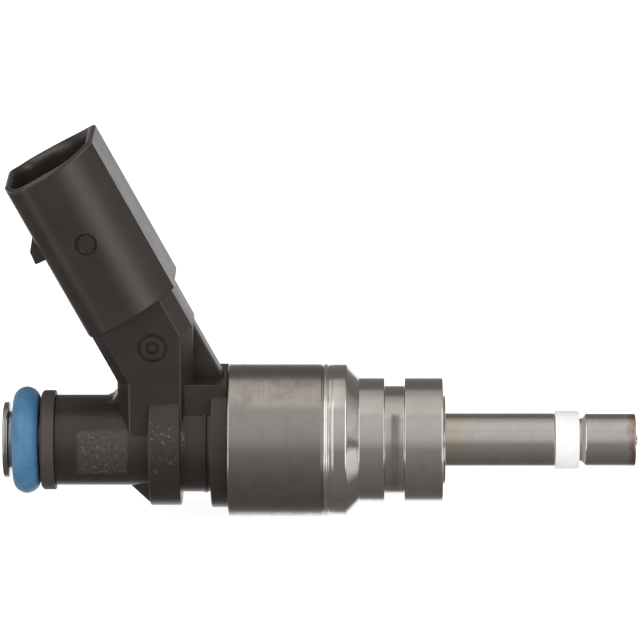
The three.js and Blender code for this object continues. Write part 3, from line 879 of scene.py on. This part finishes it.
def weld_band():
    """The narrow steps beside the case's weld, as [x, radius, round] corners."""
    low = SHELL_R - 0.1
    ring = SHELL_R - 0.02
    line = SHELL_R - 0.04
    return [
        (SHELL_END + 0.02, low, 0.02),
        (SHELL_END + 0.3, low, 0.04),
        (SHELL_END + 0.42, ring, 0.04),
        (SHELL_END + 0.72, ring, 0.04),
        (SHELL_END + 0.80, line, 0.04),
        (SHELL_END + 0.92, line, 0.04),
        (SHELL_END + 1.0, SHELL_R, 0.05),
    ]


def valve_body():
    start = start_of("valve_body")
    socket = -17.9  # where the body widens to fill the case
    chamfer_start = -13.7
    chamfer_end = -11.9
    groove_start = -8.3
    groove_end = -5.45
    boss_end = 0.35
    nozzle_seat = -9
    bore_step = -12.4
    inner_r = 5.55
    case_bore_r = 9.49
    flange_r = 8.85
    groove_r = 7.74
    boss_r = 6.5
    bore_r = 4.6
    throat_r = 3.2
    shaft_bore = SHAFT_R + 0.01
    profile = [
        (start, bore_r),
        (start, inner_r),
        (socket, inner_r),
        (socket, case_bore_r),
        (SHELL_END + 0.02, case_bore_r),
        *weld_band(),
        (chamfer_start, SHELL_R, 0.2),
        (chamfer_end, flange_r, 0.1),
        (groove_start, flange_r, 0.14),
        (groove_start, groove_r, 0.12),
        (groove_end, groove_r, 0.12),
        (groove_end, flange_r, 0.14),
        (0, flange_r, 0.24),
        (0, boss_r, 0.12),
        (boss_end, boss_r - 0.2, 0.1),
        (boss_end, shaft_bore, 0.05),
        (nozzle_seat, shaft_bore),
        (nozzle_seat, throat_r),
        (bore_step, throat_r),
        (bore_step, bore_r),
    ]
    return turned("body_turned", profile)


def nozzle_shaft():
    bore_r = 2.4
    groove_r = 3.08
    start = start_of("nozzle_tube")
    tip_r = 3.75
    profile = [
        (start, bore_r),
        (start, SHAFT_R),
        (SEAL_START - 0.05, SHAFT_R, 0.12),
        (SEAL_START - 0.05, groove_r, 0.08),
        (SEAL_END + 0.35, groove_r, 0.12),
        (SEAL_END + 0.9, tip_r, 0.12),
        (NOZZLE_END, tip_r, 0.24),
        (NOZZLE_END, bore_r),
    ]
    return turned("nozzle_shaft", profile)


def tip_seal():
    bore_r = 3.1
    profile = [
        (SEAL_START + 0.03, bore_r),
        (SEAL_START + 0.03, SEAL_R, 0.12),
        (SEAL_END, SEAL_R - 0.02, 0.3),
        (SEAL_END, bore_r),
    ]
    return turned("tip_seal", profile)


DISC_R = 2.39
DOME_R = 0.95
SAC_END = 27.1  # the end of the small space behind the dome
SEAT_CENTRE = 24.9  # the ball's centre when it is closed
BALL_R = 1.51
SPRAY_HOLES = 6
SPRAY_RING_R = 0.52
SPRAY_HOLE_R = 0.09
SPRAY_LEAN = math.radians(-24)


def dome_points(base, top, steps):
    """Points of a spherical cap on the axis, from its rim to its top."""
    height = top - base
    sphere_r = (DOME_R ** 2 + height ** 2) / (2 * height)
    widest = math.asin(DOME_R / sphere_r)
    points = []
    for k in range(steps + 1):
        angle = widest * (1 - k / steps)
        points.append((top - sphere_r + sphere_r * math.cos(angle), sphere_r * math.sin(angle), 0))
    return points


def spray_hole_cutters():
    cutters = []
    for i in range(SPRAY_HOLES):
        turn = Matrix.Rotation(2 * math.pi * i / SPRAY_HOLES, 4, "X")
        place = Matrix.Translation(Vector((SAC_END, 0, SPRAY_RING_R)) * MM)
        lean = Matrix.Rotation(SPRAY_LEAN, 4, "Y")
        points, faces = turned_mesh([(-0.6, 0), (-0.6, SPRAY_HOLE_R), (1.2, SPRAY_HOLE_R), (1.2, 0)], 20)
        hole = mesh_object(f"spray_hole_cutter_{i}", points, faces)
        hole.data.transform(turn @ place @ lean)
        cutters.append(hole)
    return cutters


def spray_tip():
    """The seat body, with its domed end and a ring of spray holes."""
    start = start_of("seat_body")
    bore_r = 1.55
    seat_r = 0.5
    moat = NOZZLE_END - 0.08  # the shallow groove round the dome
    seat_line = SEAT_CENTRE + BALL_R * math.sqrt(2)
    profile = [
        (start, bore_r),
        (start, DISC_R),
        (NOZZLE_END, DISC_R, 0.06),
        (NOZZLE_END, DOME_R + 0.35, 0.05),
        (moat, DOME_R + 0.2, 0.05),
        (moat, DOME_R + 0.05, 0.02),
        *dome_points(NOZZLE_END, end_of("seat_body"), 12),
        (SAC_END, 0),
        (SAC_END - 0.2, seat_r),
        (seat_line - seat_r, seat_r),
        (seat_line - bore_r, bore_r),
    ]
    tip = turned("spray_tip", profile, SMALL_ROUND)
    return cut_or_join(tip, spray_hole_cutters(), "DIFFERENCE")


# ---------------- connector moulding

# The connector's own axes: it leans back from the injector's axis about a foot point.
LEAN = math.radians(62)
FOOT = Vector((-33.1, 0, 0))
ALONG = Vector((-math.cos(LEAN), 0, math.sin(LEAN)))
ACROSS = Vector((math.sin(LEAN), 0, math.cos(LEAN)))
SHROUD_BOTTOM = 22.7
SHROUD_TOP = 47.6
BOTTOM_TILT = 0.65
SOCKET_FLOOR = 30.5
SHROUD_LOW = -7.0
SHROUD_HIGH = 7.15
SHROUD_SIDE = 8.1
LOW_FLAT = 4.1
HIGH_FLAT = 4.7
WALL = 1.3
NECK_HIGH = 6.4
NECK_SIDE = 5.9
NECK_LEFT = -46.1
NECK_RIGHT = -35.3
BLOCK_TOP = 9.8
BLOCK_HALF_WIDTH = 5.2
RIB_HALF_WIDTH = 1.55


def connector_point(p, t, v=0.0):
    return FOOT + ACROSS * p + ALONG * t + Vector((0, v, 0))


def side_point(p, t):
    """The [x, z] point at p across and t along the connector."""
    point = connector_point(p, t)
    return (point.x, point.z)


def line_at(p, x):
    """The [x, z] point where the line of constant p crosses a given x."""
    return side_point(p, (FOOT.x + p * ACROSS.x - x) / -ALONG.x)


def curve_points(controls, steps):
    """Points of a Bezier curve with any number of control points, without its end."""
    degree = len(controls) - 1
    points = []
    for k in range(steps):
        t = k / steps
        weights = [math.comb(degree, i) * t ** i * (1 - t) ** (degree - i) for i in range(degree + 1)]
        points.append(sum((Vector(c) * w for c, w in zip(controls, weights)), Vector((0, 0))))
    return points


def shroud_section(inset):
    """Half of the shroud's outline in p and v, from the low flat to the top flat, then mirrored."""
    low = SHROUD_LOW + 0.65 * inset
    high = SHROUD_HIGH - inset
    side = SHROUD_SIDE - inset
    low_flat = LOW_FLAT - 0.4 * inset
    top_flat = HIGH_FLAT - 0.6 * inset
    flank_start = SHROUD_LOW + 4
    flank_end = -0.4
    shoulder = [(flank_end, side), (flank_end + 2.9, side), (high - 1.8, top_flat + 2.2), (high, top_flat)]
    half = [
        *curve_points([(low, 0), (low, low_flat)], 8),
        *curve_points([(low, low_flat), (low + 0.6, side), (flank_start, side)], 24),
        *curve_points([(flank_start, side), (flank_end, side)], 6),
        *curve_points(shoulder, 28),
        *curve_points([(high, top_flat), (high, 0)], 10),
        Vector((high, 0)),
    ]
    mirrored = [Vector((point.x, -point.y)) for point in reversed(half[1:-1])]
    return half + mirrored


RIM_DIP = 0.5
# The rim's section: a small round outside, a flat, and a lead-in slope inside.
RIM_ROUND = (
    (0, 0.45),
    (0.04, 0.2),
    (0.16, 0.04),
    (0.34, 0),
    (0.8, 0),
    (0.92, 0.06),
    (1.15, 0.4),
    (WALL, 0.8),
    (WALL, 1.6),
)


def flank_share(point):
    """0 on the two flat sides, rising to 1 on the flanks."""
    share = min(max((abs(point.y) - LOW_FLAT) / (SHROUD_SIDE - LOW_FLAT), 0), 1)
    return share * share * (3 - 2 * share)


def shroud_ring(inset, t, tilt=0):
    """A ring across the shroud. With a tilt, its high side lies further up than its low side."""
    ring = []
    for point in shroud_section(inset):
        rise = tilt * (point.x - SHROUD_LOW) / (SHROUD_HIGH - SHROUD_LOW)
        ring.append(connector_point(point.x, t + rise, point.y))
    return ring


def rim_height(point):
    """The rim slopes down a little to the low side, and dips along the flanks."""
    slope = 0.4 * (SHROUD_HIGH - point.x) / (SHROUD_HIGH - SHROUD_LOW)
    return SHROUD_TOP - slope - RIM_DIP * flank_share(point)


def rim_ring(inset, drop):
    """A ring near the rim: how far it lies inside the outline, and how far under the rim."""
    outline = shroud_section(0)
    inner = shroud_section(inset)
    return [connector_point(q.x, rim_height(p) - drop, q.y) for p, q in zip(outline, inner)]


def shroud():
    """The hollow shroud: up the outside, over the rim, and down to the socket's floor."""
    rings = []
    for inset, rise in ((0.3, 0), (0.08, 0.08), (0, 0.3)):
        rings.append(shroud_ring(inset, SHROUD_BOTTOM + rise, BOTTOM_TILT))
    rings += [rim_ring(inset, drop) for inset, drop in RIM_ROUND]
    rings += [shroud_ring(WALL + 0.12, SOCKET_FLOOR + 0.3), shroud_ring(WALL + 0.4, SOCKET_FLOOR)]
    return lofted("connector_shroud", rings)


# The hole through the moulding: a narrow bore over the inlet tube, and a wider one over the pole.
TUBE_BORE_R = 4.13
POLE_BORE_R = 5.61
BORE_STEP = -36.06
MOULDING_END = -27.5
COLLAR_LIP_R = 9.44


def barrel():
    ring_r = 9.3
    groove_r = 7.4
    bead_r = groove_r + 0.12
    collar_r = 9.6
    profile = [
        (TUBE_START, TUBE_BORE_R),
        (TUBE_START, BARREL_R, 0.15),
        (CLIP_RING_START, BARREL_R, 0.25),
        (CLIP_RING_START, ring_r, 0.3),
        (CLIP_GROOVE_START, ring_r, 0.3),
        (CLIP_GROOVE_START, groove_r, 0.25),
        (CLIP_GROOVE_END - 1.15, groove_r, 0.05),
        (CLIP_GROOVE_END - 1.05, bead_r, 0.05),
        (CLIP_GROOVE_END - 0.6, bead_r, 0.05),
        (CLIP_GROOVE_END - 0.5, groove_r, 0.05),
        (CLIP_GROOVE_END, groove_r, 0.2),
        (CLIP_GROOVE_END, collar_r, 0.3),
        (SHELL_START - 0.03, collar_r, 0.12),
        (SHELL_START - 0.03, COLLAR_LIP_R),
        (MOULDING_END, COLLAR_LIP_R),
        (MOULDING_END, POLE_BORE_R),
        (BORE_STEP, POLE_BORE_R),
        (BORE_STEP, TUBE_BORE_R),
    ]
    return turned("moulded_barrel", profile)


def neck():
    outline = [
        (NECK_LEFT, 0.5),
        (NECK_RIGHT, 0.5),
        line_at(NECK_HIGH, NECK_RIGHT),
        side_point(NECK_HIGH, SHROUD_BOTTOM + 3),
        side_point(SHROUD_LOW + 0.1, SHROUD_BOTTOM + 3),
        line_at(SHROUD_LOW + 0.1, NECK_LEFT),
    ]
    return slab("connector_neck", outline, NECK_SIDE, (1.7, 2.6), 0.22)


def block():
    left = CLIP_GROOVE_START - 1
    right = SHELL_START - 0.03
    outline = [(left, 5), (right, 5), (right, BLOCK_TOP), (left, BLOCK_TOP)]
    return slab("groove_block", outline, BLOCK_HALF_WIDTH, soften=0.16)


def rib():
    foot_x = FOOT.x + NECK_HIGH * ACROSS.x + (BLOCK_TOP - NECK_HIGH * ACROSS.z) / ALONG.z * ALONG.x
    outline = [
        (CLIP_GROOVE_START, BLOCK_TOP - 2),
        (foot_x, BLOCK_TOP - 2),
        (foot_x, BLOCK_TOP),
        side_point(NECK_HIGH, SHROUD_BOTTOM + 3),
        side_point(0, SHROUD_BOTTOM + 3),
    ]
    return slab("neck_rib", outline, RIB_HALF_WIDTH, soften=0.25)


def gusset():
    """The small web under the barrel, in front of the ring."""
    start = CLIP_RING_START - 2.8
    end = CLIP_RING_START + 1
    top = -5.5
    bottom = -9.1
    outline = [(start, top), (start, top - 0.9), (CLIP_RING_START, bottom), (end, bottom), (end, top)]
    return slab("ring_gusset", outline, RIB_HALF_WIDTH, soften=0.18)


def fillet():
    radius = 2.1
    centre_x = NECK_LEFT - radius
    centre_z = BARREL_R + radius - 0.4
    steps = 14
    outline = []
    for k in range(steps + 1):
        angle = -math.pi / 2 * k / steps
        outline.append((centre_x + radius * math.cos(angle), centre_z + radius * math.sin(angle)))
    outline += [(centre_x, 5), (NECK_LEFT + 2, 5), (NECK_LEFT + 2, centre_z)]
    return slab("neck_fillet", outline, 2.2, (0, 0), 0)


def nose():
    """The latch nose on the shroud's low side."""
    top = 39.2
    foot = 34.9
    root = SHROUD_LOW + 0.8
    outline = [
        side_point(root, top),
        side_point(SHROUD_LOW, top),
        side_point(SHROUD_LOW - 1.7, 37.0),
        side_point(SHROUD_LOW - 1.9, 35.0),
        side_point(SHROUD_LOW, foot),
        side_point(root, foot),
    ]
    return slab("latch_nose", outline, 2.6, soften=0.15)


def side_cutter(name, profile, x, z, side, y):
    """A turned cutter whose axis is Y, centred at x and z, on one side of the connector."""
    points, faces = turned_mesh(profile, 64)
    cutter = mesh_object(name, points, faces)
    turn = Matrix.Rotation(side * math.pi / 2, 4, "Z")
    cutter.data.transform(Matrix.Translation(Vector((x, side * y, z)) * MM) @ turn)
    return cutter


def dimples():
    """The round dimple on each side of the shroud."""
    place = connector_point(-0.1, 35.5)
    depth = 0.7
    rim = 1.62
    profile = [(-depth, 0), (-depth, 1.2), (-depth + 0.14, 1.36), (0.05, rim), (1, rim), (1, 0)]
    return [side_cutter(f"dimple_cutter_{s}", profile, place.x, place.z, s, SHROUD_SIDE) for s in (-1, 1)]


RING_MARK = (-40.9, 15.55)
RING_MARK_RADII = (1.9, 0.75)
RING_MARK_WIDTH = 0.5
RING_MARK_DEPTH = 0.45


def ring_marks():
    """Two plain rings sunk in the neck's side, such as a mould's insert leaves."""
    cutters = []
    for i, radius in enumerate(RING_MARK_RADII):
        inner = radius - RING_MARK_WIDTH / 2
        outer = radius + RING_MARK_WIDTH / 2
        profile = [(-RING_MARK_DEPTH, inner), (-RING_MARK_DEPTH, outer), (1, outer), (1, inner)]
        cutters.append(side_cutter(f"mark_cutter_{i}", profile, *RING_MARK, -1, NECK_SIDE))
    return cutters


def bore_cutter():
    start = TUBE_START - 1
    end = MOULDING_END + 1
    profile = [(start, 0), (start, TUBE_BORE_R), (BORE_STEP, TUBE_BORE_R)]
    profile += [(BORE_STEP, POLE_BORE_R), (end, POLE_BORE_R), (end, 0)]
    points, faces = turned_mesh(profile, ROUND)
    return mesh_object("bore_cutter", points, faces)


def blade_slots():
    """Where the blades come up through the socket's floor."""
    slots = []
    for i, v in enumerate(BLADE_PLACES):
        slots.append(blade_box(f"slot_cutter_{i}", v, SOCKET_FLOOR - 8, SOCKET_FLOOR + 2, 0.12))
    return slots


def moulding():
    base = barrel()
    parts = [neck(), block(), rib(), gusset(), fillet(), shroud(), nose()]
    cut_or_join(base, parts, "UNION")
    cut_or_join(base, [bore_cutter(), *dimples(), *ring_marks(), *blade_slots()], "DIFFERENCE")
    base.name = "connector_moulding"
    return base


# ---------------- blades and springs

BLADE_WIDTH = 2.8
BLADE_THICKNESS = 0.8
BLADE_PLACES = (-2.5, 2.5)
BLADE_TIP = 43.8
BLADE_FOOT = 10.9
STRIP_Z = 8.1  # the height of the strip that joins a blade to the coil


def blade_ring(t, v, half_t, half_w):
    """The four corners of a blade's section, t along the connector."""
    corners = ((-half_t, -half_w), (half_t, -half_w), (half_t, half_w), (-half_t, half_w))
    return [connector_point(p, t, v + w) for p, w in corners]


def blade_box(name, v, low, high, extra):
    half_t = BLADE_THICKNESS / 2 + extra
    half_w = BLADE_WIDTH / 2 + extra
    return lofted(name, [blade_ring(t, v, half_t, half_w) for t in (low, high)])


def strip_ring(x, v, lift, half_t, half_w):
    """The four corners of the strip's section, over the pole."""
    low = STRIP_Z - half_t + lift * 0.2
    high = STRIP_Z + half_t + lift
    corners = ((low, -half_w), (high, -half_w), (high, half_w), (low, half_w))
    return [Vector((x, v + w, z)) for z, w in corners]


def blade(i, v):
    """A flat blade with a wedge at its tip, on the strip that runs down to the coil."""
    half_t = BLADE_THICKNESS / 2
    half_w = BLADE_WIDTH / 2
    rings = [
        blade_ring(BLADE_TIP, v, 0.16, 0.95),
        blade_ring(BLADE_TIP - 0.25, v, 0.24, 1.15),
        blade_ring(BLADE_TIP - 1.3, v, half_t, half_w),
        blade_ring(BLADE_FOOT, v, half_t, half_w),
        strip_ring(CLIP_GROOVE_END - 3.4, v, 0.18, half_t, half_w),
        strip_ring(start_of("coil_bobbin") - 0.1, v, 0, half_t, half_w),
    ]
    made = lofted(f"terminal_blade_{i}", rings)
    soften_edges(made, 0.07, 12, 2)
    return made


def spring_path(start, end, radius, turns, steps=40):
    """A helix about X whose first and last turns lie closer together, as a coil spring's do."""
    path = []
    total = turns * steps
    for k in range(total + 1):
        t = k / total
        angle = 2 * math.pi * turns * t
        share = t - 0.13 * math.sin(2 * math.pi * t)
        x = start + (end - start) * share
        path.append(Vector((x, radius * math.cos(angle), radius * math.sin(angle))))
    return path


def blended_spring(name, node, wire, turns):
    """A coil spring in place of a node."""
    start = start_of(node) + wire
    end = end_of(node) - wire
    mean_r = radius_of(node) - wire
    made = sweep(name, spring_path(start, end, mean_r, turns), wire, 12)
    made.data.materials.append(ground_steel)
    shade(made)
    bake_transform(made)
    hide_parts(node)


# ---------------- everything in place


def dress_cad_node(name, material):
    node = nodes[name]
    node.data.materials.clear()
    node.data.materials.append(material)


make_camera()
make_studio()
make_panel()
make_floor()
scene.view_settings.view_transform = "Standard"

inlet_steel = steel("inlet_steel", (0.37, 0.365, 0.365), (0.25, 0.25, 0.255), 0.2, 0.0012, 9.0, 0.35)
case_steel = steel("case_steel", (0.34, 0.322, 0.302), (0.25, 0.232, 0.215), 0.24, 0.0003, 3.0, 0.6)
ground_steel = steel("ground_steel", (0.66, 0.65, 0.63), (0.50, 0.48, 0.45), 0.2, 0.002, 14.0, 0.2)
magnet_steel = steel("magnet_steel", (0.42, 0.41, 0.40), (0.28, 0.27, 0.26), 0.38, 0.006, 6.0, 0.5)
tinned_brass = steel("tinned_brass", (0.74, 0.73, 0.70), (0.60, 0.56, 0.48), 0.3, 0.002, 3.0, 0.3)
weld_steel = steel("weld_steel", (0.62, 0.60, 0.575), (0.34, 0.29, 0.25), 0.24, 0.006, 5.0, 0.4)
black_plastic = moulded_plastic("black_plastic", (0.0225, 0.0150, 0.0124), 0.33, with_marks=True)
natural_plastic = moulded_plastic("natural_plastic", (0.72, 0.66, 0.48), 0.45)
support_plastic = ring_plastic("support_plastic", (0.052, 0.036, 0.031), 0.5)
white_ptfe = ring_plastic("white_ptfe", (0.88, 0.88, 0.87), 0.4)
blue_rubber = rubber("blue_rubber", (0.055, 0.17, 0.315), 0.42)

finished(moulding(), black_plastic, "black_plastic", "connector_housing", crease=32)
for i, v in enumerate(BLADE_PLACES, 1):
    finished(blade(i, v), tinned_brass, "tinned_brass", f"terminal_{i}")
finished(inlet_pipe(), inlet_steel, "turned_steel", "inlet_tube")
finished(o_ring(), blue_rubber, "blue_rubber", "inlet_o_ring")
finished(support_ring(), support_plastic, "support_plastic", "backup_ring")
finished(solenoid_case(), case_steel, "case_steel", "magnet_shell")
finished(case_weld(), weld_steel, "turned_steel")
finished(valve_body(), groove_shaded_steel(), "turned_steel", "valve_body")
finished(nozzle_shaft(), nozzle_steel(), "turned_steel", "nozzle_tube")
finished(tip_seal(), white_ptfe, "white_ptfe", "combustion_seal")
finished(spray_tip(), ground_steel, "ground_steel", "seat_body")

for name in ("spacer_ring", "needle_guide", "needle", "valve_ball", "upper_stop_ring", "lower_stop_sleeve"):
    dress_cad_node(name, ground_steel)
dress_cad_node("adjusting_sleeve", ground_steel)
blended_spring("return_coil", "return_spring", 0.22, 7)
blended_spring("armature_coil", "armature_spring", 0.14, 4)
for name in ("pole_core", "upper_washer", "armature"):
    dress_cad_node(name, magnet_steel)
for name in ("filter_frame", "coil_bobbin"):
    dress_cad_node(name, natural_plastic)
dress_cad_node("filter_screen", woven_steel())
dress_cad_node("coil_winding", copper_wire())
